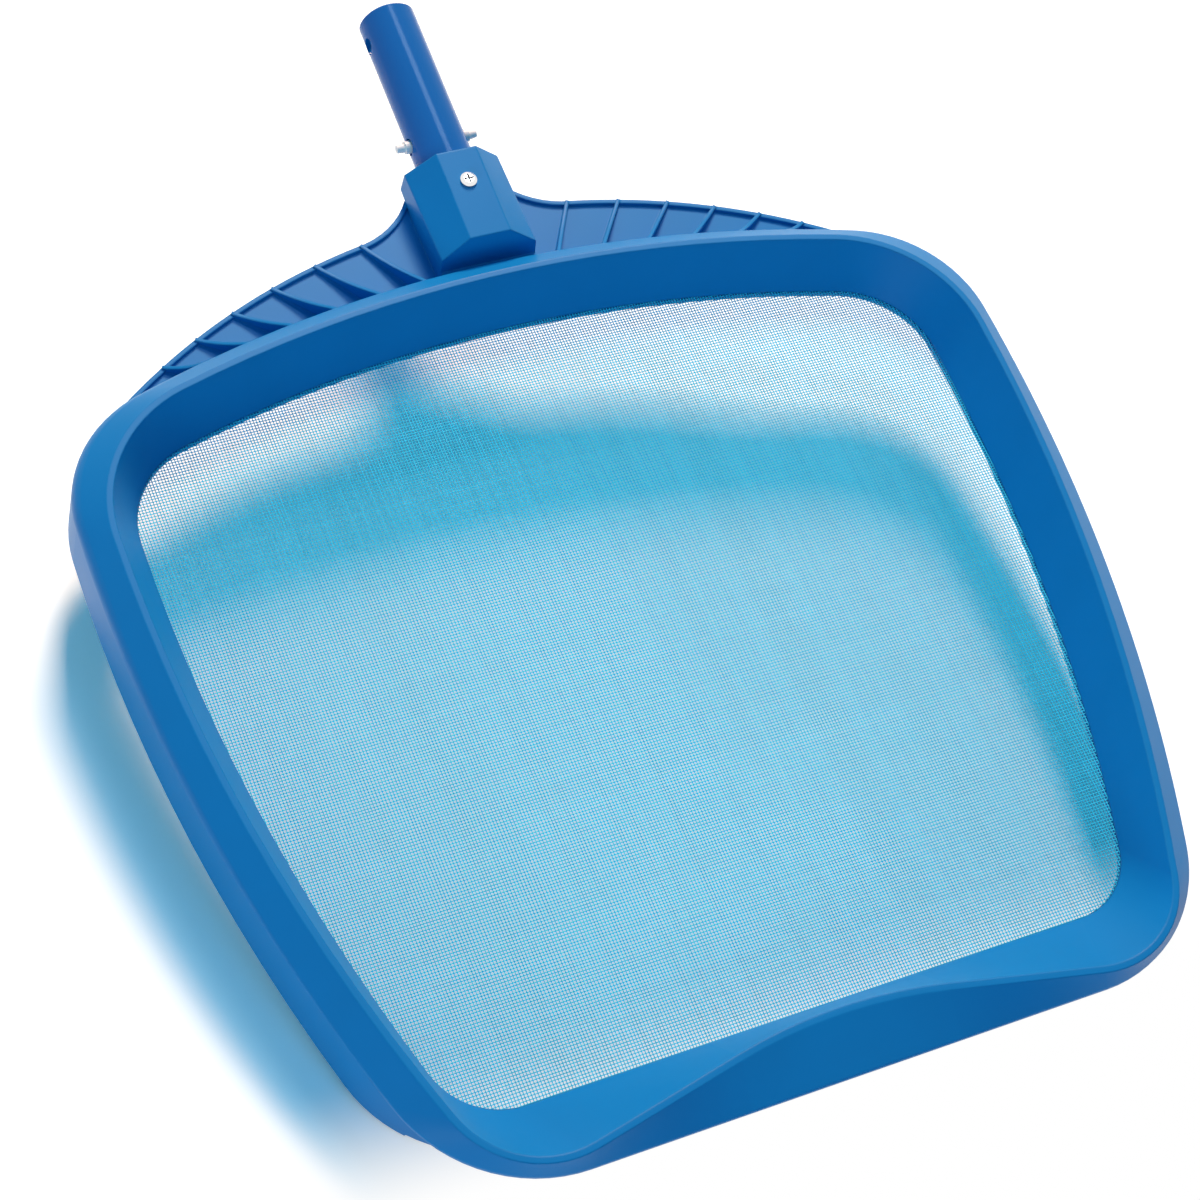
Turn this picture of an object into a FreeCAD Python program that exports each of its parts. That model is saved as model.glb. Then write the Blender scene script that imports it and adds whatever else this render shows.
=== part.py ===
# Leaf skimmer net: a one-piece moulded hoop with a scoop lip, a fine net moulded into its inner rim,
# and a handle tube screwed into a socket, with a sprung clip inside it that snaps into a pole.
# Millimetres. +Z up, +Y towards the handle, +X to the right when looking along +Y.
# The origin is on the plane that the skirt rests on, on the middle line, side_y towards the lip from the
# line where the hoop is widest.
import FreeCAD, Part
import math
import os
import re

V = FreeCAD.Vector

doc = FreeCAD.newDocument("leaf_skimmer_net")

# Driving dimensions
SIZES = [
    ("net_height", 16.0, "from the rest plane to the middle of the net"),
    ("crest_height", 42.0, "from the rest plane to the top of the hoop"),
    ("shoulder_height", 32.0, "from the rest plane to the hoop's outer shoulder and the lip"),
    ("wall", 2.5, "wall of the moulded hoop"),
    ("side_y", 62.0, "where the hoop is widest"),
    ("rear_radius", 625.0, "long curve of the hoop's rear"),
    ("opening_half_width", 200.0, "middle line to the net opening's side"),
    ("opening_side_radius", 870.0, "long curve of the opening's side"),
    ("opening_rear", 149.5, "from the origin back to the middle of the opening's rear edge"),
    ("opening_rear_corner", 45.0, "rear corner radius of the opening"),
    ("opening_front", 207.5, "from the origin forward to the opening's straight front edge"),
    ("opening_front_corner", 34.0, "front corner radius of the opening"),
    ("inner_run", 14.5, "plan width of the steep inner wall, net edge to crest"),
    ("inner_front_run", 11.5, "the same at the middle of the front"),
    ("crest_side_radius", 830.0, "long curve of the crest's side"),
    ("crest_rear_corner", 68.0, "rear corner radius of the crest"),
    ("crest_front_corner", 44.0, "front corner radius of the crest"),
    ("crest_sweep_radius", 236.0, "curve of the crest where it comes in at the middle of the lip"),
    ("crest_sweep_angle", 12.0, "slope of the crest in plan, between that curve and the corner"),
    ("crest_band", 3.0, "width of the narrow flat on top of the crest"),
    ("outer_run", 13.0, "plan width of the outer slope, crest to shoulder"),
    ("shoulder_side_radius", 840.0, "long curve of the shoulder's side"),
    ("shoulder_rear_corner", 62.0, "rear corner radius of the shoulder"),
    ("lip_reach", 4.7527, "from the crest's foremost point forward to the lip's leading edge"),
    ("lip_corner", 70.0, "corner radius of the scoop lip"),
    ("lip_edge", 2.0, "thickness of the lip's leading edge"),
    ("shoulder_round", 9.0, "rounding of the shoulder along the sides and rear"),
    ("lip_round", 0.9, "rounding of the lip's upper edge"),
    ("lip_round_end", 150.0, "where the shoulder's rounding has come down to the lip's, towards the lip"),
    ("skirt_setback", 25.0, "from the lip's leading edge back to the front skirt"),
    ("skirt_front_corner", 66.0, "front corner radius of the skirt"),
    ("skirt_flare", 1.0, "how far the skirt leans out at its foot"),
    ("notch_back", 8.0, "from the opening's front edge back to where the front skirt's foot steps up"),
    ("notch_rise", 1.5, "how much higher the front skirt's foot is"),
    ("net_thickness", 0.6, "thickness of the net"),
    ("net_rim_width", 6.5, "width of the rim that the net is moulded into"),
    ("net_rim_above", 1.5, "rim above the net's middle"),
    ("net_rim_below", 3.5, "rim below the net's middle"),
    ("net_grip", 4.0, "how far the net reaches into the rim"),
    ("net_seat_gap", 0.3, "play round the net's edge in its rim"),
    ("net_pitch", 34.0, "spacing of the gaps"),
    ("net_bar", 2.0, "width of the bars between the gaps"),
    ("web_height", 19.5, "top of the fan web above the rest plane"),
    ("web_thickness", 2.5, "thickness of the fan web"),
    ("web_half_width", 190.0, "where the web's rear edge runs into the hoop"),
    ("web_tip", 51.0, "where the web's long edge meets the curve beside the socket"),
    ("web_tip_back", 32.0, "how far that point is behind the hoop's shoulder"),
    ("web_end_drop", 27.0, "how far the web's end is in front of the shoulder's rear"),
    ("web_neck_back", 51.0, "how far the web reaches back beside the socket"),
    ("web_neck_sag", 3.2, "depth of the curve beside the socket under its chord"),
    ("web_bulge", 8.8, "rise of the long edge's curve over its chord"),
    ("web_rim_thickness", 2.2, "thickness of the rim along the web's rear edge"),
    ("web_rim_above", 1.5, "rim above the web"),
    ("web_rim_below", 9.0, "rim below the web's top"),
    ("rib_count", 6, "ribs on each side of the socket"),
    ("rib_first", 53.5, "first rib's tip from the middle line"),
    ("rib_pitch", 25.9, "spacing of the rib tips next to the socket"),
    ("rib_closing", 0.75, "how much the spacing closes up, per rib squared"),
    ("rib_first_angle", 59.5, "first rib's direction from X"),
    ("rib_angle_step", 6.1, "how much each next rib lies flatter"),
    ("rib_thickness", 1.8, "thickness of a rib"),
    ("rib_tip_rise", 2.0, "rib above the web at its tip"),
    ("rib_root_rise", 11.0, "rib above the web at the hoop"),
    ("rib_sag", 1.8, "depth of the curve in the rib's top edge"),
    ("handle_tilt", 4.5, "rise of the handle tube, degrees"),
    ("socket_rear", 56.5, "from the shoulder's rear back to the socket's mouth"),
    ("socket_axis_height", 28.6, "tube axis above the rest plane at the socket's mouth"),
    ("socket_top", 19.6, "tube axis to the socket's flat top"),
    ("socket_top_half_width", 10.2, "half of the flat top"),
    ("socket_half_width", 24.0, "half of the socket's width"),
    ("socket_shoulder", 6.2, "tube axis to the socket's shoulder, at its mouth"),
    ("socket_shoulder_slope", 0.07, "how fast the shoulder rises from the axis, away from the mouth"),
    ("socket_foot_back", 3.0, "from the shoulder's rear back to the foot of the socket's front face"),
    ("socket_foot_drop", 4.3, "how far that foot is below the shoulder"),
    ("socket_front_lean", 14.0, "how far the socket's front face leans back, degrees"),
    ("socket_round", 0.8, "rounding of the socket's long edges"),
    ("socket_play", 0.15, "play between the tube and the socket"),
    ("tube_insert", 42.0, "length of the tube inside the socket"),
    ("tube_reach", 91.0, "length of the tube outside the socket"),
    ("tube_root_radius", 14.4, "tube radius in the socket"),
    ("tube_radius", 14.1, "tube radius where the pole slides on"),
    ("tube_taper", 30.0, "length of the taper outside the socket"),
    ("tube_wall", 2.5, "wall of the tube"),
    ("tube_chamfer", 0.8, "chamfer at the tube's open end"),
    ("snap_hole_radius", 4.35, "holes for the clip's buttons, and the spare pair"),
    ("snap_hole_shift", 0.3, "hole centre nearer the socket than the button's, as the button swings"),
    ("spare_hole_from_end", 13.5, "spare pair of holes from the open end"),
    ("button_from_socket", 18.2, "buttons from the socket's mouth"),
    ("button_radius", 3.15, "the button's collar, which the pole's hole drops over"),
    ("button_collar_reach", 16.4, "tube axis to the end of the collar"),
    ("button_tip_radius", 2.3, "root of the button's narrower tip"),
    ("button_end_radius", 1.85, "end of that tip"),
    ("button_reach", 20.5, "tube axis to the button's tip"),
    ("clip_arm_length", 44.8, "button to the clip's bend"),
    ("clip_arm_tail", 6.2, "arm past the button"),
    ("clip_bend_radius", 4.0, "middle radius of the clip's bend"),
    ("clip_thickness", 1.8, "thickness of the clip's strip"),
    ("clip_width", 7.0, "width of the clip's strip"),
    ("clip_splay", 6.2, "angle of each arm at rest, degrees"),
    ("clip_gap", 0.3, "gap at the bend where an arm flexes"),
    ("clip_seat_radius", 4.3, "round seat that each button stands on, square to it"),
    ("clip_seat_reach", 10.4, "tube axis to the top of that seat"),
    ("screw_from_mouth", 17.5, "screw from the socket's mouth"),
    ("screw_radius", 1.95, "screw shank"),
    ("screw_length", 13.0, "screw below its head"),
    ("screw_head_radius", 4.0, "screw head"),
    ("screw_head_height", 2.2, "screw head"),
    ("screw_flat_radius", 2.4, "flat on top of the screw head"),
    ("screw_play", 0.1, "play round the screw"),
    ("cross_width", 0.9, "width of the cross recess"),
    ("cross_length", 4.6, "length of the cross recess"),
    ("cross_depth", 1.3, "depth of the cross recess"),
]

sheet = doc.addObject("Spreadsheet::Sheet", "Sizes")
sheet.set("A1", "size")
sheet.set("B1", "value")
sheet.set("C1", "what it is")
for row, (name, value, note) in enumerate(SIZES, start=2):
    sheet.set(f"A{row}", name)
    sheet.set(f"B{row}", str(value))
    sheet.set(f"C{row}", note)
    sheet.setAlias(f"B{row}", name)
doc.recompute()


def size(name):
    """A driving dimension from the sheet."""
    return float(sheet.get(name))


WORDS = "|".join(sorted((name for name, value, note in SIZES), key=len, reverse=True))


def bind(item, **values):
    """Ties an object's properties to formulas in the sheet's names. At_x, At_y and At_z place it."""
    places = {"At_x": "Placement.Base.x", "At_y": "Placement.Base.y", "At_z": "Placement.Base.z",
              "Turn": "Placement.Rotation.Angle"}
    for key, formula in values.items():
        formula = re.sub(rf"\b({WORDS})\b", r"Sizes.\1", formula)
        item.setExpression("." + places[key] if key in places else key, formula)
    return item


def feature(label, shape):
    """A document object that holds a shape worked out in code."""
    item = doc.addObject("Part::Feature", label)
    item.Shape = shape
    return item


# Outlines of the hoop in plan
class Outline:
    """A closed outline of tangent arcs, symmetrical about X = 0.

    Its sides and rear are long curves, its front is straight or swept in at the middle.
    grown(d) is the outline a constant distance d outside it.
    """

    def __init__(self, half_width, side_radius, rear, rear_radius, rear_corner, front, front_corner,
                 sweep_radius=0.0, sweep_angle=0.0):
        self.half_width = half_width
        self.side_radius = side_radius
        self.rear = rear
        self.rear_radius = rear_radius
        self.rear_corner = rear_corner
        self.front = front
        self.front_corner = front_corner
        self.sweep_radius = sweep_radius
        self.sweep_angle = sweep_angle

    def grown(self, d):
        return Outline(self.half_width + d, self.side_radius + d, self.rear + d, self.rear_radius + d,
                       self.rear_corner + d, self.front + d, self.front_corner + d,
                       self.sweep_radius - d if self.sweep_radius else 0.0, self.sweep_angle)

    def side_centre(self):
        return V(self.half_width - self.side_radius, size("side_y"), 0)

    def front_run(self, middle):
        """The front's right half: the end of its middle edge, its corner's centre and the foot of its corner."""
        reach = self.side_radius - self.front_corner
        if not self.sweep_radius:
            far = circle_on_line(V(0, -self.front + self.front_corner, 0), V(1, 0, 0), self.side_centre(), reach)
            return V(middle, -self.front, 0), far, V(far.x, -self.front, 0)
        angle = math.radians(self.sweep_angle)
        along = V(math.cos(angle), -math.sin(angle), 0)
        inward = V(math.sin(angle), math.cos(angle), 0)
        start = V(0, -self.front - self.sweep_radius, 0) + inward * self.sweep_radius
        far = circle_on_line(start + inward * self.front_corner, along, self.side_centre(), reach)
        return start, far, far - inward * self.front_corner

    def foremost(self):
        """How far the outline reaches towards the lip, at its front corners."""
        start, far, foot = self.front_run(0)
        return self.front_corner - far.y

    def wire(self, z, middle):
        """The outline as a wire of ten edges at height z. The front's middle edge is 2 middle long."""
        side = self.side_centre()
        back = V(0, self.rear - self.rear_radius, 0)
        near = meeting(back, self.rear_radius - self.rear_corner, side, self.side_radius - self.rear_corner)
        start, far, foot = self.front_run(middle)
        rear_end = back + (near - back).normalize() * self.rear_radius
        side_start = side + (near - side).normalize() * self.side_radius
        side_end = side + (far - side).normalize() * self.side_radius
        corner = far + ((side_end - far) + (foot - far)).normalize() * self.front_corner
        rear_mid = near + ((rear_end - near) + (side_start - near)).normalize() * self.rear_corner
        side_mid = side + ((side_start - side) + (side_end - side)).normalize() * self.side_radius
        right = [(rear_end, rear_mid, side_start), (side_start, side_mid, side_end),
                 (side_end, corner, foot), (foot, None, start)]
        edges = [arc(flip(rear_end), V(0, self.rear, 0), rear_end, z)]
        edges += [arc(*piece, z) for piece in right]
        edges.append(arc(start, V(0, -self.front, 0) if self.sweep_radius else None, flip(start), z))
        edges += [arc(flip(c), flip(b) if b else None, flip(a), z) for a, b, c in reversed(right)]
        return Part.Wire(edges)


def flip(point):
    return V(-point.x, point.y, point.z)


def arc(a, b, c, z):
    """An arc from a to c through b at height z, or a line where b is None."""
    lift = V(0, 0, z)
    if b is None:
        return Part.LineSegment(a + lift, c + lift).toShape()
    return Part.Arc(a + lift, b + lift, c + lift).toShape()


def meeting(c1, r1, c2, r2):
    """The point at r1 from c1 and r2 from c2, on the outer side."""
    gap = c2 - c1
    d = gap.Length
    along = (d * d + r1 * r1 - r2 * r2) / (2 * d)
    across = math.sqrt(r1 * r1 - along * along)
    u = gap / d
    points = [c1 + u * along + V(-u.y, u.x, 0) * k * across for k in (1, -1)]
    return max(points, key=lambda p: p.x + p.y)


def circle_on_line(start, along, centre, radius):
    """The point on the line from start, in direction along, at radius from centre."""
    to = start - centre
    b = to.dot(along)
    c = to.dot(to) - radius * radius
    return start + along * (-b + math.sqrt(b * b - c))


opening = Outline(size("opening_half_width"), size("opening_side_radius"), size("opening_rear"),
                  size("rear_radius"), size("opening_rear_corner"), size("opening_front"),
                  size("opening_front_corner"))
crest = Outline(opening.half_width + size("inner_run"), size("crest_side_radius"),
                opening.rear + size("inner_run"), size("rear_radius"), size("crest_rear_corner"),
                opening.front + size("inner_front_run"), size("crest_front_corner"),
                size("crest_sweep_radius"), size("crest_sweep_angle"))
lip = Outline(crest.half_width + size("outer_run"), size("shoulder_side_radius"),
              crest.rear + size("outer_run"), size("rear_radius"), size("shoulder_rear_corner"),
              crest.foremost() + size("lip_reach"), size("lip_corner"))
skirt = Outline(lip.half_width, lip.side_radius, lip.rear, lip.rear_radius, lip.rear_corner,
                lip.front - size("skirt_setback"), size("skirt_front_corner"))
MIDDLE = size("crest_sweep_radius") * math.sin(math.radians(size("crest_sweep_angle")))


def band(low, low_z, high, high_z):
    """The solid between two outlines at two heights, with ruled sides."""
    return Part.makeLoft([low.wire(low_z, MIDDLE), high.wire(high_z, MIDDLE)], True, True)


# The hoop
def sloped(across, along):
    """A wall's thickness measured along an axis that the wall leans away from, across in along."""
    return size("wall") * math.hypot(across, along) / along


def inner_wall():
    """The tray's inner wall with the tray itself, from the net up to the crest."""
    step = sloped(size("inner_run"), size("crest_height") - size("net_height"))
    return band(opening.grown(step), size("net_height"), crest.grown(step - size("crest_band") / 2),
                size("crest_height"))


def hoop_hull():
    """The hoop's outer form, solid, with the lip standing out over the front skirt."""
    top = band(lip, size("shoulder_height"), crest.grown(size("crest_band") / 2), size("crest_height"))
    edge = band(lip, size("shoulder_height") - size("lip_edge"), lip, size("shoulder_height"))
    foot = band(skirt.grown(size("skirt_flare")), 0, skirt, size("shoulder_height"))
    return top.fuse([edge, foot, inner_wall()])


def level_edges(shape, z):
    """The numbered edges of a shape that lie level at height z."""
    found = []
    for number, edge in enumerate(shape.Edges, start=1):
        box = edge.BoundBox
        if box.ZMax - box.ZMin < 1e-3 and abs(box.ZMax - z) < 1e-3:
            found.append((number, edge))
    return found


def rounded(label, shape, radii):
    """The shape with rounded edges. radii lists each edge's number with its radius at the two ends."""
    item = feature(label, shape)
    fillet = doc.addObject("Part::Fillet", label + "_rounded")
    fillet.Base = item
    fillet.Edges = radii
    doc.recompute([fillet])
    if fillet.Shape.isNull() or not fillet.Shape.isValid():
        raise RuntimeError(f"{label} can't be rounded")
    return fillet.Shape


def shoulder_radius(y):
    """The shoulder's rounding at a place along the hoop: full behind side_y, and the lip's at the front."""
    large, small = size("shoulder_round"), size("lip_round")
    share = (size("side_y") - y) / (size("side_y") + size("lip_round_end"))
    return large + (small - large) * min(1.0, max(0.0, share))


def hoop():
    """The hoop's outer form with a rounded shoulder and the tray cut out."""
    hull = hoop_hull().removeSplitter()
    shoulder = [(number, shoulder_radius(edge.Vertexes[0].Point.y), shoulder_radius(edge.Vertexes[-1].Point.y))
                for number, edge in level_edges(hull, size("shoulder_height"))]
    return rounded("hoop_hull", hull, shoulder).cut(tray()).removeSplitter()


def tray():
    """The space inside the hoop, above and below the net."""
    z, top = size("net_height"), size("crest_height")
    inner = crest.grown(-size("crest_band") / 2)
    above = band(opening, z, inner, top)
    over = band(inner, top, inner, top + size("wall"))
    below = band(opening, -size("wall"), opening, z)
    return above.fuse([over, below])


def hollow():
    """The channel under the hoop, a wall's thickness inside its outer form."""
    wall = size("wall")
    drop = sloped(size("crest_height") - size("shoulder_height"), size("outer_run"))
    bottom = -wall
    roof = band(lip.grown(-wall), size("shoulder_height") - drop,
                crest.grown(size("crest_band") / 2), size("crest_height") - drop)
    under_roof = band(lip.grown(-wall), bottom, lip.grown(-wall), size("shoulder_height") - drop)
    inside = band(skirt.grown(-wall + size("skirt_flare")), bottom, skirt.grown(-wall),
                  size("shoulder_height") - drop)
    skirt_wall = band(skirt.grown(size("skirt_flare")), bottom, skirt, size("crest_height"))
    skirt_wall = skirt_wall.cut(band(skirt.grown(-wall + size("skirt_flare")), bottom, skirt.grown(-wall),
                                     size("crest_height")))
    rim = band(opening.grown(size("net_rim_width")), size("net_height") - size("net_rim_below"),
               opening.grown(size("net_rim_width")), size("net_height") + size("net_rim_above"))
    return roof.fuse([under_roof, inside]).cut(skirt_wall.fuse([inner_wall(), rim]))


# The fan web behind the hoop, with its rim and ribs
def bowed(a, b, rise):
    """The middle point of an arc from a to b that rises so far to the left of the line between them."""
    along = (b - a).normalize()
    return (a + b) / 2 + V(-along.y, along.x, 0) * rise


def web_points():
    """The right half of the web's rear edge: beside the socket, its tip and its end in the hoop."""
    neck = V(size("socket_half_width"), lip.rear + size("web_neck_back"), 0)
    tip = V(size("web_tip"), lip.rear + size("web_tip_back"), 0)
    end = V(size("web_half_width"), lip.rear - size("web_end_drop"), 0)
    return neck, tip, end


def web_face(z):
    """The web's outline, filled forward to the middle of the hoop, at height z."""
    neck, tip, end = web_points()
    neck_mid = bowed(neck, tip, -size("web_neck_sag"))
    edge_mid = bowed(tip, end, size("web_bulge"))
    front = V(end.x, 0, 0)
    edges = [arc(flip(neck), None, neck, z), arc(neck, neck_mid, tip, z), arc(tip, edge_mid, end, z),
             arc(end, None, front, z), arc(front, None, flip(front), z), arc(flip(front), None, flip(end), z),
             arc(flip(end), flip(edge_mid), flip(tip), z), arc(flip(tip), flip(neck_mid), flip(neck), z)]
    return Part.Face(Part.Wire(edges))


def web():
    top = size("web_height")
    plate = web_face(top - size("web_thickness")).extrude(V(0, 0, size("web_thickness")))
    low = web_face(top - size("web_rim_below"))
    rim = low.cut(low.makeOffset2D(-size("web_rim_thickness")))
    return plate.fuse(rim.extrude(V(0, 0, size("web_rim_below") + size("web_rim_above"))))


def rib(number, hand):
    """One rib, from its low tip on the web's rim up to the hoop's shoulder. hand is 1 right, -1 left."""
    neck, tip, end = web_points()
    curve = arc(tip, bowed(tip, end, size("web_bulge")), end, 0).Curve
    centre, radius = curve.Center, curve.Radius
    x = size("rib_first") + size("rib_pitch") * number - size("rib_closing") * number ** 2
    start = V(x, centre.y + math.sqrt(radius ** 2 - (x - centre.x) ** 2), 0)
    angle = math.radians(size("rib_first_angle") - size("rib_angle_step") * number)
    along = V(-math.cos(angle), -math.sin(angle), 0)
    shoulder = V(0, lip.rear - lip.rear_radius, 0)
    to = start - shoulder
    b = to.dot(along)
    length = -b - math.sqrt(b * b - to.dot(to) + lip.rear_radius ** 2)
    low = size("web_height") - size("web_thickness") / 2
    tip_z = size("web_height") + size("rib_tip_rise")
    root_z = size("web_height") + size("rib_root_rise")
    root = length + size("wall") / 2
    sag = V(length / 2, 0, (tip_z + root_z) / 2 - size("rib_sag"))
    edges = [Part.LineSegment(V(0, 0, low), V(0, 0, tip_z)).toShape(),
             Part.Arc(V(0, 0, tip_z), sag, V(length, 0, root_z)).toShape(),
             Part.LineSegment(V(length, 0, root_z), V(root, 0, root_z)).toShape(),
             Part.LineSegment(V(root, 0, root_z), V(root, 0, low)).toShape(),
             Part.LineSegment(V(root, 0, low), V(0, 0, low)).toShape()]
    blade = Part.Face(Part.Wire(edges)).extrude(V(0, size("rib_thickness"), 0))
    blade.translate(V(0, -size("rib_thickness") / 2, 0))
    blade.rotate(V(0, 0, 0), V(0, 0, 1), 180 + math.degrees(angle))
    blade.translate(start)
    return blade if hand > 0 else blade.mirror(V(0, 0, 0), V(1, 0, 0))


# The socket, in the handle's own frame: Y along the tube from the socket's mouth, Z square to it and up
MOUTH = V(0, lip.rear + size("socket_rear"), size("socket_axis_height"))
HANDLE = FreeCAD.Placement(MOUTH, FreeCAD.Rotation(V(1, 0, 0), size("handle_tilt")))


def rod(radius, start, end, way, at=V(0, 0, 0)):
    """A cylinder along way from start to end, in the handle's frame."""
    c = Part.makeCylinder(radius, end - start, at + way * start, way)
    c.transformShape(HANDLE.toMatrix())
    return c


def socket():
    top, flat, side = size("socket_top"), size("socket_top_half_width"), size("socket_half_width")
    outlines = []
    for y in (0, crest.rear - MOUTH.y):
        shoulder = size("socket_shoulder") - y * size("socket_shoulder_slope")
        corners = [(flat, top), (side, shoulder), (side, -shoulder), (flat, -top), (-flat, -top),
                   (-side, -shoulder), (-side, shoulder), (-flat, top)]
        outlines.append(Part.makePolygon([V(x, y, z) for x, z in corners + corners[:1]]))
    hump = Part.makeLoft(outlines, True, True)
    long_edges = [edge for edge in hump.Edges if edge.BoundBox.YLength > size("socket_rear")]
    hump = hump.makeFillet(size("socket_round"), long_edges)
    hump.transformShape(HANDLE.toMatrix())
    foot_y, foot_z = lip.rear + size("socket_foot_back"), size("shoulder_height") - size("socket_foot_drop")
    tall = 2 * top
    lean = tall * math.tan(math.radians(size("socket_front_lean")))
    back = [V(-side, foot_y, foot_z), V(-side, foot_y + lean, foot_z + tall),
            V(-side, crest.rear - side, foot_z + tall), V(-side, crest.rear - side, foot_z)]
    front = Part.Face(Part.makePolygon(back + back[:1])).extrude(V(2 * side, 0, 0))
    return hump.cut(front)


def frame_shape():
    inside = hollow()
    shell = hoop()
    crest_block = band(crest, -size("wall"), crest, 2 * size("crest_height"))
    added = [web(), socket()]
    added += [rib(number, hand) for hand in (1, -1) for number in range(int(size("rib_count")))]
    added = added[0].fuse(added[1:]).cut(crest_block)
    shape = shell.fuse(added).cut(inside)
    z, half = size("net_height"), size("net_thickness") / 2
    groove = opening.grown(size("net_grip") + size("net_seat_gap"))
    shape = shape.cut(band(groove, z - half, groove, z + half))
    step = Part.makeBox(4 * lip.half_width, lip.front, size("notch_rise"),
                        V(-2 * lip.half_width, -opening.front + size("notch_back") - lip.front, 0))
    shape = shape.cut(step)
    bore = rod(size("tube_root_radius") + size("socket_play"), -size("tube_insert"), size("tube_insert"),
               V(0, 1, 0))
    screw_hole = rod(size("screw_radius") + size("screw_play"), 0, 2 * size("socket_top"), V(0, 0, 1),
                     V(0, -size("screw_from_mouth"), 0))
    return shape.cut(bore.fuse(screw_hole)).removeSplitter()


def net_shape():
    """The net as one flat plate with square gaps, its margin held in the rim's groove."""
    z, half = size("net_height"), size("net_thickness") / 2
    edge = opening.grown(size("net_grip")).wire(z - half, MIDDLE)
    clear = Part.Face(opening.grown(-size("net_bar")).wire(z - half, MIDDLE))
    pitch, gap = size("net_pitch"), size("net_pitch") - size("net_bar")
    columns = int(opening.half_width // pitch) + 1
    rows = int(max(opening.front, opening.rear) // pitch) + 1
    gaps = []
    for column in range(-columns, columns + 1):
        for row in range(-rows, rows + 1):
            corners = [V(column * pitch + i * gap / 2, row * pitch + j * gap / 2, z - half)
                       for i, j in ((-1, -1), (1, -1), (1, 1), (-1, 1))]
            if all(clear.isInside(corner, 1e-6, True) for corner in corners):
                gaps.append(Part.makePolygon(corners + corners[:1]))
    sheet_face = Part.Face([edge] + gaps)
    sheet_face.validate()
    return sheet_face.extrude(V(0, 0, 2 * half))


# The handle tube: a tapered root in the socket, a straight length for the pole, and holes across it
def turned(kind, name, way=V(1, 0, 0), angle=-90.0, **values):
    """A round primitive in the handle's frame. By default its axis lies along the tube."""
    item = doc.addObject("Part::" + kind, name)
    item.Placement = FreeCAD.Placement(V(0, 0, 0), FreeCAD.Rotation(way, angle))
    return bind(item, **values)


def joined(label, pieces):
    item = doc.addObject("Part::MultiFuse", label)
    item.Shapes = pieces
    return item


def cut(label, base, tool):
    item = doc.addObject("Part::Cut", label)
    item.Base = base
    item.Tool = tool
    return item


def in_handle(item, y="0", z="0"):
    """Places a finished piece in the handle's tilted frame, at y along the tube and z above its axis."""
    item.Placement = FreeCAD.Placement(V(0, 0, 0), FreeCAD.Rotation(V(1, 0, 0), 1.0))
    mouth_y = "opening_rear + inner_run + outer_run + socket_rear"
    tilt = "handle_tilt"
    return bind(item, Turn="handle_tilt * 1deg",
                At_y=f"{mouth_y} + ({y}) * cos({tilt} * 1deg) - ({z}) * sin({tilt} * 1deg)",
                At_z=f"socket_axis_height + ({y}) * sin({tilt} * 1deg) + ({z}) * cos({tilt} * 1deg)")


def handle_tube():
    straight = "tube_reach - tube_taper"
    outside = joined("tube_outside", [
        turned("Cylinder", "tube_root", Radius="tube_root_radius", Height="tube_insert", At_y="-tube_insert"),
        turned("Cone", "tube_cone", Radius1="tube_root_radius", Radius2="tube_radius", Height="tube_taper"),
        turned("Cylinder", "tube_straight", Radius="tube_radius", Height=f"{straight} - tube_chamfer",
               At_y="tube_taper"),
        turned("Cone", "tube_end", Radius1="tube_radius", Radius2="tube_radius - tube_chamfer",
               Height="tube_chamfer", At_y="tube_reach - tube_chamfer")])
    across = V(0, 1, 0)
    holes = [
        turned("Cylinder", "tube_bore", Radius="tube_radius - tube_wall", Height="tube_insert + tube_reach",
               At_y="-tube_insert"),
        turned("Cylinder", "snap_holes", across, 90.0, Radius="snap_hole_radius", Height="4 * tube_root_radius",
               At_x="-2 * tube_root_radius", At_y="button_from_socket - snap_hole_shift"),
        turned("Cylinder", "spare_holes", across, 90.0, Radius="snap_hole_radius", Height="4 * tube_root_radius",
               At_x="-2 * tube_root_radius", At_y="tube_reach - spare_hole_from_end"),
        turned("Cylinder", "tube_screw_hole", across, 0.0, Radius="screw_radius + screw_play",
               Height="2 * tube_root_radius", At_y="-screw_from_mouth")]
    return in_handle(cut("handle_tube", outside, joined("tube_holes", holes)))


def handle_screw():
    upright = V(0, 1, 0)
    body = joined("screw_body", [
        turned("Cylinder", "screw_shank", upright, 0.0, Radius="screw_radius", Height="screw_length",
               At_z="-screw_length"),
        turned("Cylinder", "screw_head", upright, 0.0, Radius="screw_head_radius",
               Height="screw_head_height / 2"),
        turned("Cone", "screw_dome", upright, 0.0, Radius1="screw_head_radius",
               Radius2="screw_flat_radius", Height="screw_head_height / 2", At_z="screw_head_height / 2")])
    slots = []
    for name, length, width in (("slot_along", "cross_length", "cross_width"),
                                ("slot_across", "cross_width", "cross_length")):
        slot = doc.addObject("Part::Box", name)
        slots.append(bind(slot, Length=length, Width=width, Height="cross_depth", At_x=f"-{length} / 2",
                          At_y=f"-{width} / 2", At_z="screw_head_height - cross_depth"))
    return in_handle(cut("handle_screw", body, joined("screw_cross", slots)), "-screw_from_mouth", "socket_top")


# The snap clip inside the tube: a bend, and two arms with a button on each
HINGE = "button_from_socket + clip_arm_length"


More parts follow.
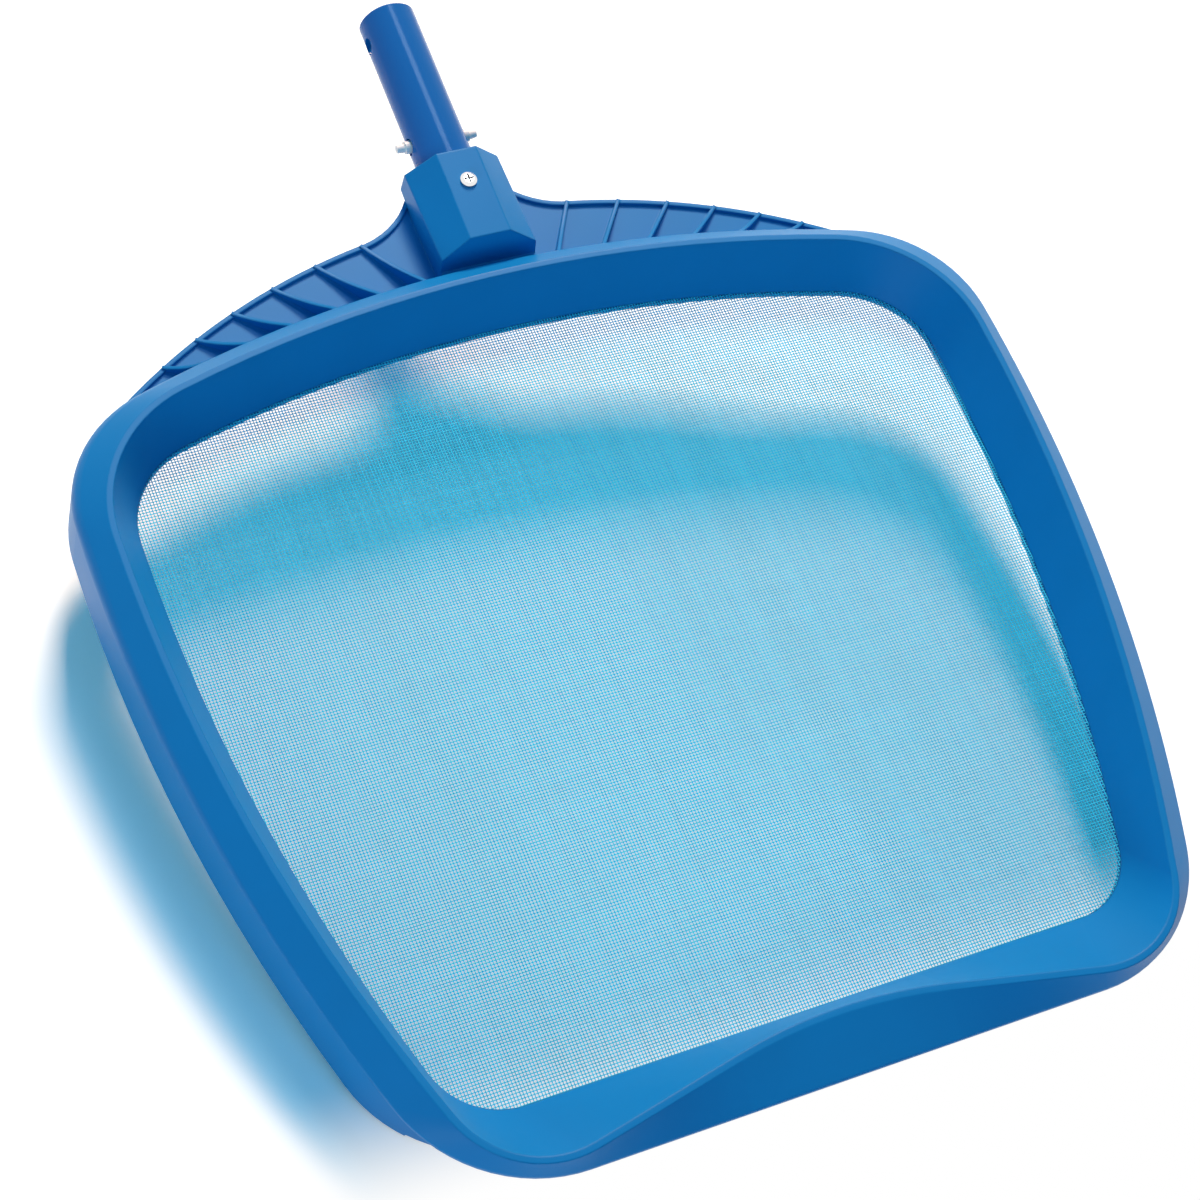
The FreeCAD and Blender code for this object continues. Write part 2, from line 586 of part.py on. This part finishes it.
def clip_arm(label):
    """The right arm. Its strip runs from the bend towards the socket and leans out to the tube's wall."""
    strip = doc.addObject("Part::Box", label + "_strip")
    strip.Placement = FreeCAD.Placement(V(0, 0, 0), FreeCAD.Rotation(V(0, 0, 1), 1.0))
    length, lean = "(clip_arm_length + clip_arm_tail)", "(clip_splay * 1deg)"
    bind(strip, Length="clip_thickness", Width=length, Height="clip_width", Turn="clip_splay * 1deg",
         At_x=f"clip_bend_radius - clip_thickness / 2 * cos{lean} + {length} * sin{lean}",
         At_y=f"{HINGE} - clip_thickness / 2 * sin{lean} - {length} * cos{lean}", At_z="-clip_width / 2")
    across = V(0, 1, 0)
    start = f"(clip_bend_radius + clip_arm_length * tan{lean})"
    collar = turned("Cylinder", label + "_collar", across, 90.0, Radius="button_radius",
                    Height=f"button_collar_reach - {start}", At_x=start, At_y="button_from_socket")
    seat = turned("Cylinder", label + "_seat", across, 90.0, Radius="clip_seat_radius",
                  Height=f"clip_seat_reach - {start}", At_x=start, At_y="button_from_socket")
    tip = turned("Cone", label + "_tip", across, 90.0, Radius1="button_tip_radius",
                 Radius2="button_end_radius", Height="button_reach - button_collar_reach",
                 At_x="button_collar_reach", At_y="button_from_socket")
    return joined(label, [strip, seat, collar, tip])


def clip():
    right = in_handle(clip_arm("clip_arm_right"))
    left = doc.addObject("Part::Mirroring", "clip_arm_left")
    left.Source = right
    left.Base = V(0, 0, 0)
    left.Normal = V(1, 0, 0)
    halves = []
    for name, radius in (("bend_outside", "clip_bend_radius + clip_thickness / 2"),
                         ("bend_inside", "clip_bend_radius - clip_thickness / 2")):
        half = turned("Cylinder", name, V(1, 0, 0), 0.0, Radius=radius, Height="clip_width",
                      At_y=f"{HINGE} + clip_gap", At_z="-clip_width / 2")
        half.Angle = 180
        halves.append(half)
    return [right, left, in_handle(cut("clip_bend", *halves))]


def main():
    nodes = [feature("frame", frame_shape()), feature("net", net_shape()), handle_tube(), handle_screw()]
    nodes += clip()
    doc.recompute()
    for item in doc.Objects:
        if "Invalid" in item.State or "Error" in item.State:
            raise RuntimeError(f"{item.Label} failed: {item.State}")
    for item in nodes:
        if item.Shape.isNull() or not item.Shape.isValid() or not item.Shape.Solids:
            raise RuntimeError(f"{item.Label} has no valid shape")
    os.makedirs("parts", exist_ok=True)
    for item in nodes:
        item.Shape.exportStep(f"parts/{item.Label}.step")
        box = item.Shape.BoundBox
        print(f"{item.Label}: {len(item.Shape.Solids)} solid, {item.Shape.Volume / 1000:.2f} cm3, "
              f"{box.XLength:.1f} x {box.YLength:.1f} x {box.ZLength:.1f} mm")


main()
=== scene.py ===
# A leaf skimmer net for pools: a blue moulded hoop and socket, a fine woven net, and a handle tube
# with a snap clip. Metres, in the same frame as the solids: +Z up, +Y towards the handle, the foot
# of the hoop at z = 0.
import math
import random

import bpy
import numpy as np
from mathutils import Matrix, Vector, noise


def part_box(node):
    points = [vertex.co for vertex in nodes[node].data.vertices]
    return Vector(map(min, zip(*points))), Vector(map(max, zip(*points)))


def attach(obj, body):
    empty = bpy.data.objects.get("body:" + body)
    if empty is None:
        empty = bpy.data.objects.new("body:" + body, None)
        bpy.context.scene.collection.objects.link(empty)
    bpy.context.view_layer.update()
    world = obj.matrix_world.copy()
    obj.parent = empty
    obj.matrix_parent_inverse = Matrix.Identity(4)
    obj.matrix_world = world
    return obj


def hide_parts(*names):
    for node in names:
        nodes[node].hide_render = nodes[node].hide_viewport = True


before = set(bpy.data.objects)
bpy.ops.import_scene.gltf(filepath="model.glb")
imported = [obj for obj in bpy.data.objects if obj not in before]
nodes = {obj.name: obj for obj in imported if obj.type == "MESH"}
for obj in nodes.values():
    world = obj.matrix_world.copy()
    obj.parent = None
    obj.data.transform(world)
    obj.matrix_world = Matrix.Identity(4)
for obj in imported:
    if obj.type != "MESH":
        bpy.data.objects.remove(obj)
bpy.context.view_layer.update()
net_low, net_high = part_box("net")

# Colours, linear
HOOP_BLUE = (0.004, 0.228, 0.575)
TUBE_BLUE = (0.003, 0.150, 0.490)
NET_BLUE = (0.040, 0.700, 0.960)
CLIP_WHITE = (0.93, 0.91, 0.89)
SCREW_STEEL = (0.88, 0.87, 0.86)
FLOOR_WHITE = (0.80, 0.80, 0.80)
FLOOR_SEEN = (1.38, 1.49, 1.45)
SKY_TINT = (0.055, 0.21, 0.325)
KEY_TINT = (1.00, 0.67, 0.50)
FILL_TINT = (0.80, 0.92, 1.00)
STRIP_TINT = (0.60, 0.80, 1.00)
PLAIN_WHITE = (1.0, 1.0, 1.0, 1.0)

# Finishes
PLASTIC_IOR = 1.49
NYLON_IOR = 1.5
GRAIN_STRENGTH = 0.35
EDGE_SAMPLES = 6
# Painted shade on the screw: ambient occlusion darkens the steel's colour in the hollow of its
# cross
PAINTED_SHADE_SAMPLES = 8
PAINTED_SHADE_REACH = 0.0015

# Sockets of a Mix node that mixes colours, which share their names with its other sockets
MIX_FIRST = 6
MIX_SECOND = 7
MIX_RESULT = 2

# The woven net
NET_HEIGHT = 0.016
NET_SEED = 7
THREAD_PITCH = 0.00144
THREAD_WIDTH = 0.00047
THREAD_DEPTH = 0.00030
THREAD_SIDES = 6
THREAD_RUNS = 8
THREAD_STRAY = 0.05
THREAD_TONES = (0.88, 1.12)
THREAD_SMOOTH = math.radians(70)
LAYER_OFFSET = 0.00011
NET_SLACK = 0.0005
NET_MARGIN = 0.0002
SLACK_WAVES = (9.0, 7.0, 3.7)
SLACK_RIM = 0.06
STUB_ENDS = (-0.02, 0.02)

# The view: where the camera stands, and its own right, up and forward directions
CAMERA_PLACE = Vector((-0.4230, -0.4788, 1.0615))
CAMERA_RIGHT = Vector((0.90901, -0.37349, 0.18494))
CAMERA_UP = Vector((0.24724, 0.84049, 0.48213))
CAMERA_FORWARD = Vector((0.33551, 0.39254, -0.85636))
CAMERA_LENS = 81.56
CAMERA_SENSOR = 36.0
CAMERA_CLIP = (0.05, 50.0)

# The floor touches the foot of the hoop at its front left corner, and falls away under the rest.
# It fades to white between the ends of each fade: in front along Y, and far off from the origin.
FLOOR_TOUCH = Vector((-0.195, -0.205, 0.0))
FLOOR_NORMAL = Vector((0.031, 0.120, 1.0))
FLOOR_MIDDLE = 1.3
FLOOR_SIZE = 4.4
FRONT_FADE = (-0.165, -0.235)
FAR_FADE = (0.55, 0.85)

# What the lamps face
ORIGIN = (0.0, 0.0, 0.0)
TUBE_MIDDLE = (0.0, 0.275, 0.032)


def select_only(piece):
    """Leaves one object selected and active."""
    bpy.ops.object.select_all(action="DESELECT")
    piece.select_set(True)
    bpy.context.view_layer.objects.active = piece


def apply_modifiers(piece):
    """Turns an object's modifiers into its mesh, in their order."""
    select_only(piece)
    for modifier in list(piece.modifiers):
        bpy.ops.object.modifier_apply(modifier=modifier.name)


# Nodes
def add_node(tree, kind, **settings):
    """A node with its plain settings, and the values of its inputs by name."""
    made = tree.nodes.new(kind)
    for name, value in settings.items():
        if name in made.inputs:
            made.inputs[name].default_value = value
        else:
            setattr(made, name, value)
    return made


def link_all(tree, *pairs):
    """Links each pair of an output and an input."""
    for source, target in pairs:
        tree.links.new(source, target)


def calculated(tree, operation, *values):
    """The result of a Math node. Each value is a number, or an output to link in."""
    made = add_node(tree, "ShaderNodeMath", operation=operation)
    for socket, value in zip(made.inputs, values):
        if isinstance(value, float):
            socket.default_value = value
        else:
            tree.links.new(value, socket)
    return made.outputs[0]


def mixed_shaders(tree, share, first, second):
    """The first shader where the share is 0, and the second where it is 1."""
    made = tree.nodes.new("ShaderNodeMixShader")
    link_all(tree, *zip((share, first, second), made.inputs))
    return made.outputs[0]


def tinted(tree, colour, tone):
    """A colour that gets lighter and darker with a tone."""
    mix = add_node(tree, "ShaderNodeVectorMath", operation="SCALE")
    mix.inputs[0].default_value = colour
    tree.links.new(tone, mix.inputs["Scale"])
    return mix.outputs[0]


def fade_between(tree, value, ends):
    """0 up to the first end and 1 past the second, with a soft change between."""
    fade = add_node(tree, "ShaderNodeMapRange", interpolation_type="SMOOTHSTEP")
    fade.inputs["From Min"].default_value, fade.inputs["From Max"].default_value = ends
    tree.links.new(value, fade.inputs["Value"])
    return fade.outputs[0]


def seen_directly(tree):
    """1 for rays from the camera, and for those that come by way of gloss or glass."""
    path = tree.nodes.new("ShaderNodeLightPath")
    seen = calculated(tree, "MAXIMUM", path.outputs["Is Camera Ray"], path.outputs["Is Glossy Ray"])
    return calculated(tree, "MAXIMUM", seen, path.outputs["Is Transmission Ray"])


# Materials
def moulded_surface_group():
    """Slow tone changes and a fine grain, for the moulded plastics and the screw."""
    group = bpy.data.node_groups.new("moulded_surface", "ShaderNodeTree")
    face = group.interface
    for name, value in (("Cloud Size", 30.0), ("Tone Spread", 0.06), ("Grain Size", 1800.0),
                        ("Roughness", 0.4), ("Roughness Spread", 0.08)):
        socket = face.new_socket(name=name, in_out="INPUT", socket_type="NodeSocketFloat")
        socket.default_value = value
    for name in ("Tone", "Roughness", "Height"):
        face.new_socket(name=name, in_out="OUTPUT", socket_type="NodeSocketFloat")
    inside = group.nodes.new("NodeGroupInput")
    outside = group.nodes.new("NodeGroupOutput")
    place = group.nodes.new("ShaderNodeTexCoord")
    cloud = add_node(group, "ShaderNodeTexNoise", Detail=3.0)
    grain = add_node(group, "ShaderNodeTexNoise", Detail=2.0)
    centred = calculated(group, "SUBTRACT", cloud.outputs[0], 0.5)
    double = calculated(group, "MULTIPLY", inside.outputs["Tone Spread"], 2.0)
    tone = calculated(group, "MULTIPLY_ADD", centred, double, 1.0)
    rough = calculated(group, "MULTIPLY_ADD", centred,
                       inside.outputs["Roughness Spread"], inside.outputs["Roughness"])
    link_all(group,
             (place.outputs["Object"], cloud.inputs["Vector"]),
             (place.outputs["Object"], grain.inputs["Vector"]),
             (inside.outputs["Cloud Size"], cloud.inputs["Scale"]),
             (inside.outputs["Grain Size"], grain.inputs["Scale"]),
             (tone, outside.inputs["Tone"]),
             (rough, outside.inputs["Roughness"]),
             (grain.outputs[0], outside.inputs["Height"]))
    return group


def new_material(name):
    """An empty node material with its shader and output."""
    made = bpy.data.materials.new(name)
    made.use_nodes = True
    tree = made.node_tree
    tree.nodes.clear()
    shader = tree.nodes.new("ShaderNodeBsdfPrincipled")
    output = tree.nodes.new("ShaderNodeOutputMaterial")
    tree.links.new(shader.outputs[0], output.inputs["Surface"])
    return made, tree, shader


def add_skin(tree, surface, **values):
    """The shared moulded surface in a material, with its own values for some inputs."""
    skin = tree.nodes.new("ShaderNodeGroup")
    skin.node_tree = surface
    for name, value in values.items():
        skin.inputs[name].default_value = value
    return skin


def plastic(name, surface, colour, roughness, grain_size, grain_depth, tone_spread,
            specular=0.5, edge=0.0003):
    """Moulded plastic: a tinted base, a little grain, softened edges and its own gloss."""
    made, tree, shader = new_material(name)
    skin = add_skin(tree, surface, **{"Grain Size": grain_size, "Tone Spread": tone_spread,
                                      "Roughness": roughness})
    bump = add_node(tree, "ShaderNodeBump", Strength=GRAIN_STRENGTH, Distance=grain_depth)
    soft_edge = add_node(tree, "ShaderNodeBevel", Radius=edge, samples=EDGE_SAMPLES)
    link_all(tree,
             (soft_edge.outputs[0], bump.inputs["Normal"]),
             (tinted(tree, colour, skin.outputs["Tone"]), shader.inputs["Base Color"]),
             (skin.outputs["Roughness"], shader.inputs["Roughness"]),
             (skin.outputs["Height"], bump.inputs["Height"]),
             (bump.outputs[0], shader.inputs["Normal"]))
    shader.inputs["IOR"].default_value = PLASTIC_IOR
    shader.inputs["Specular IOR Level"].default_value = specular
    return made


def plated_steel(surface):
    """The screw's bright steel, with painted shade that darkens its colour in the hollow of its
    cross.
    """
    made, tree, shader = new_material("plated_steel")
    skin = add_skin(tree, surface, **{"Grain Size": 3000.0, "Roughness": 0.28})
    # Painted shade: ambient occlusion darkens the steel's colour where the cross is hollow
    painted_recess_shade = add_node(tree, "ShaderNodeAmbientOcclusion", samples=PAINTED_SHADE_SAMPLES,
                      Distance=PAINTED_SHADE_REACH)
    link_all(tree,
             (tinted(tree, SCREW_STEEL, skin.outputs["Tone"]), painted_recess_shade.inputs["Color"]),
             (painted_recess_shade.outputs["Color"], shader.inputs["Base Color"]),
             (skin.outputs["Roughness"], shader.inputs["Roughness"]))
    shader.inputs["Metallic"].default_value = 1.0
    return made


def net_nylon():
    """Light blue nylon thread. Each thread has its own tone."""
    made, tree, shader = new_material("net_nylon")
    tone = add_node(tree, "ShaderNodeAttribute", attribute_name="thread_tone")
    tree.links.new(tinted(tree, NET_BLUE, tone.outputs["Fac"]), shader.inputs["Base Color"])
    shader.inputs["Roughness"].default_value = 0.42
    shader.inputs["IOR"].default_value = NYLON_IOR
    shader.inputs["Specular IOR Level"].default_value = 0.2
    return made


def dress_nodes():
    """Gives every solid that shows its finish."""
    surface = moulded_surface_group()
    hoop_blue = plastic("hoop_blue", surface, HOOP_BLUE, roughness=0.38, grain_size=1800.0,
                        grain_depth=0.00006, tone_spread=0.05, specular=0.15, edge=0.0012)
    tube_blue = plastic("tube_blue", surface, TUBE_BLUE, roughness=0.14, grain_size=900.0,
                        grain_depth=0.00001, tone_spread=0.03, specular=0.15)
    clip_white = plastic("clip_white", surface, CLIP_WHITE, roughness=0.38, grain_size=1500.0,
                         grain_depth=0.00002, tone_spread=0.02)
    finishes = {"frame": hoop_blue, "handle_tube": tube_blue,
                "handle_screw": plated_steel(surface), "clip_arm_right": clip_white,
                "clip_arm_left": clip_white, "clip_bend": clip_white}
    for name, material in finishes.items():
        data = nodes[name].data
        data.materials.clear()
        data.materials.append(material)


# The woven net
def thread_template(along):
    """One thread across the middle of the net, along axis 0 (X) or 1 (Y), in straight runs."""
    bpy.ops.object.select_all(action="DESELECT")
    bpy.ops.mesh.primitive_cylinder_add(vertices=THREAD_SIDES, radius=0.5, depth=1.0,
                                        end_fill_type="NGON")
    thread = bpy.context.active_object
    bpy.ops.object.mode_set(mode="EDIT")
    for run in range(1, THREAD_RUNS):
        bpy.ops.mesh.select_all(action="SELECT")
        bpy.ops.mesh.bisect(plane_co=(0, 0, run / THREAD_RUNS - 0.5), plane_no=(0, 0, 1))
    bpy.ops.object.mode_set(mode="OBJECT")
    angle, axis = ((math.pi / 2, "Y"), (-math.pi / 2, "X"))[along]
    scale = [THREAD_WIDTH, THREAD_WIDTH, THREAD_DEPTH]
    scale[along] = 1.0
    thread.data.transform(Matrix.Diagonal((*scale, 1.0)) @ Matrix.Rotation(angle, 4, axis))
    return thread


def net_edge(at, along):
    """Where the thread at that other coordinate ends, low and high, or None off the net."""
    way, line = Vector(), Vector((0, 0, NET_HEIGHT))
    way[along] = 1.0
    line[1 - along] = at
    ends = []
    for side in (-1, 1):
        hit, place, _, _ = nodes["net"].ray_cast(line + way * side, -way * side)
        if not hit:
            return None
        ends.append(place[along] - side * NET_MARGIN)
    return ends


def slack(x, y):
    """How far the net lies off its plane: soft waves that die out at the rim."""
    wave = noise.noise(Vector((x * SLACK_WAVES[0], y * SLACK_WAVES[1], SLACK_WAVES[2])))
    inside = min(x - net_low.x, net_high.x - x, y - net_low.y, net_high.y - y)
    return NET_SLACK * wave * min(1.0, max(0.0, inside / SLACK_RIM))


def threads(along, draw):
    """All the threads one way, as one mesh, and their length: the template repeated."""
    across = 1 - along
    count = int((net_high[across] - net_low[across]) / THREAD_PITCH)
    first = (net_low[across] + net_high[across]) / 2 - (count - 1) / 2 * THREAD_PITCH
    lift = LAYER_OFFSET if along == 1 else -LAYER_OFFSET
    piece = thread_template(along)
    each = len(piece.data.vertices)
    rows = piece.modifiers.new("rows", "ARRAY")
    rows.count = count
    rows.use_relative_offset = False
    rows.use_constant_offset = True
    step = [0.0, 0.0, 0.0]
    step[across] = THREAD_PITCH
    rows.constant_offset_displace = step
    apply_modifiers(piece)
    points = np.empty(len(piece.data.vertices) * 3)
    piece.data.vertices.foreach_get("co", points)
    points = points.reshape(count, each, 3)
    tones = np.empty((count, each))
    length = 0.0
    for row in range(count):
        ends = net_edge(first + row * THREAD_PITCH, along) or STUB_ENDS
        middle, span = (ends[0] + ends[1]) / 2, ends[1] - ends[0]
        length += span
        own = points[row]
        own[:, across] += first + draw.uniform(-THREAD_STRAY, THREAD_STRAY) * THREAD_PITCH
        own[:, along] = middle + own[:, along] * span
        own[:, 2] += [NET_HEIGHT + lift + slack(x, y) for x, y, z in own]
        tones[row] = draw.uniform(*THREAD_TONES)
    piece.data.vertices.foreach_set("co", points.ravel())
    tone = piece.data.attributes.new("thread_tone", "FLOAT", "POINT")
    tone.data.foreach_set("value", tones.ravel())
    piece.data.update()
    return piece, length


def weave_net(material):
    """The net: warp threads over weft threads, gripped by the hoop's rim."""
    draw = random.Random(NET_SEED)
    warp, warp_length = threads(1, draw)
    weft, _ = threads(0, draw)
    select_only(warp)
    weft.select_set(True)
    bpy.ops.object.join()
    warp.name = "woven_net"
    warp.data.materials.clear()
    warp.data.materials.append(material)
    select_only(warp)
    bpy.ops.object.shade_smooth_by_angle(angle=THREAD_SMOOTH)
    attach(warp, "head")
    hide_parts("net")


# The studio
def floor_white():
    """The floor's material: matt, faded to white in front and far off, and clear from below."""
    made, tree, shader = new_material("floor_white")
    shader.inputs["Roughness"].default_value = 0.9
    shader.inputs["Specular IOR Level"].default_value = 0.0
    seen = seen_directly(tree)
    tint = add_node(tree, "ShaderNodeMix", data_type="RGBA")
    tint.inputs[MIX_FIRST].default_value = (*FLOOR_WHITE, 1.0)
    tint.inputs[MIX_SECOND].default_value = (*FLOOR_SEEN, 1.0)
    place = tree.nodes.new("ShaderNodeNewGeometry")
    axes = tree.nodes.new("ShaderNodeSeparateXYZ")
    reach = add_node(tree, "ShaderNodeVectorMath", operation="LENGTH")
    link_all(tree,
             (seen, tint.inputs[0]),
             (tint.outputs[MIX_RESULT], shader.inputs["Base Color"]),
             (place.outputs["Position"], axes.inputs[0]),
             (place.outputs["Position"], reach.inputs[0]))
    front = fade_between(tree, axes.outputs["Y"], FRONT_FADE)
    far = fade_between(tree, reach.outputs["Value"], FAR_FADE)
    faded = calculated(tree, "MULTIPLY", calculated(tree, "MAXIMUM", front, far), seen)
    white = add_node(tree, "ShaderNodeEmission", Color=PLAIN_WHITE, Strength=1.0)
    clear = tree.nodes.new("ShaderNodeBsdfTransparent")
    top = mixed_shaders(tree, faded, shader.outputs[0], white.outputs[0])
    one_sided = mixed_shaders(tree, place.outputs["Backfacing"], top, clear.outputs[0])
    tree.links.new(one_sided, tree.nodes["Material Output"].inputs["Surface"])
    return made


def pale_floor():
    """A floor that touches the hoop's front left corner and falls away towards the handle."""
    middle = Vector((0.0, FLOOR_MIDDLE, 0.0))
    middle.z = FLOOR_TOUCH.z - (middle - FLOOR_TOUCH).to_2d().dot(FLOOR_NORMAL.to_2d())
    bpy.ops.object.select_all(action="DESELECT")
    bpy.ops.mesh.primitive_plane_add(size=FLOOR_SIZE, location=middle,
                                     rotation=FLOOR_NORMAL.to_track_quat("Z", "Y").to_euler())
    floor = bpy.context.active_object
    floor.name = "pale_floor"
    floor.data.materials.append(floor_white())


def softbox(name, place, target, size, power, tint):
    """A rectangular lamp that faces a point."""
    lamp = bpy.data.lights.new(name, "AREA")
    lamp.shape = "RECTANGLE"
    lamp.size, lamp.size_y = size
    lamp.energy = power
    lamp.color = tint
    made = bpy.data.objects.new(name, lamp)
    made.location = place
    made.rotation_mode = "QUATERNION"
    made.rotation_quaternion = (Vector(target) - Vector(place)).to_track_quat("-Z", "Y")
    bpy.context.scene.collection.objects.link(made)


def studio():
    """Dim blue light all round behind a white backdrop, and three lamps."""
    world = bpy.data.worlds.new("studio")
    bpy.context.scene.world = world
    world.use_nodes = True
    tree = world.node_tree
    sky = tree.nodes["Background"]
    sky.inputs["Color"].default_value = (*SKY_TINT, 1.0)
    backdrop = add_node(tree, "ShaderNodeBackground", Color=PLAIN_WHITE)
    shown = mixed_shaders(tree, seen_directly(tree), sky.outputs[0], backdrop.outputs[0])
    tree.links.new(shown, tree.nodes["World Output"].inputs["Surface"])
    softbox("key", (1.46, 3.66, 2.92), ORIGIN, size=(1.2, 1.2), power=270.0, tint=KEY_TINT)
    softbox("fill", (-1.9, -1.6, 0.62), ORIGIN, size=(1.2, 0.8), power=18.0, tint=FILL_TINT)
    softbox("strip", (0.49, 1.33, 2.13), TUBE_MIDDLE, size=(0.60, 0.45), power=8.0,
            tint=STRIP_TINT)
    bpy.context.scene.view_settings.view_transform = "Standard"


def aim_camera():
    """The photograph's view."""
    camera = bpy.data.cameras.new("camera")
    camera.sensor_width = CAMERA_SENSOR
    camera.lens = CAMERA_LENS
    camera.clip_start, camera.clip_end = CAMERA_CLIP
    made = bpy.data.objects.new("camera", camera)
    bpy.context.scene.collection.objects.link(made)
    axes = Matrix((CAMERA_RIGHT, CAMERA_UP, -CAMERA_FORWARD)).transposed()
    made.matrix_world = Matrix.Translation(CAMERA_PLACE) @ axes.to_4x4()
    bpy.context.scene.camera = made


dress_nodes()
weave_net(net_nylon())
pale_floor()
studio()
aim_camera()
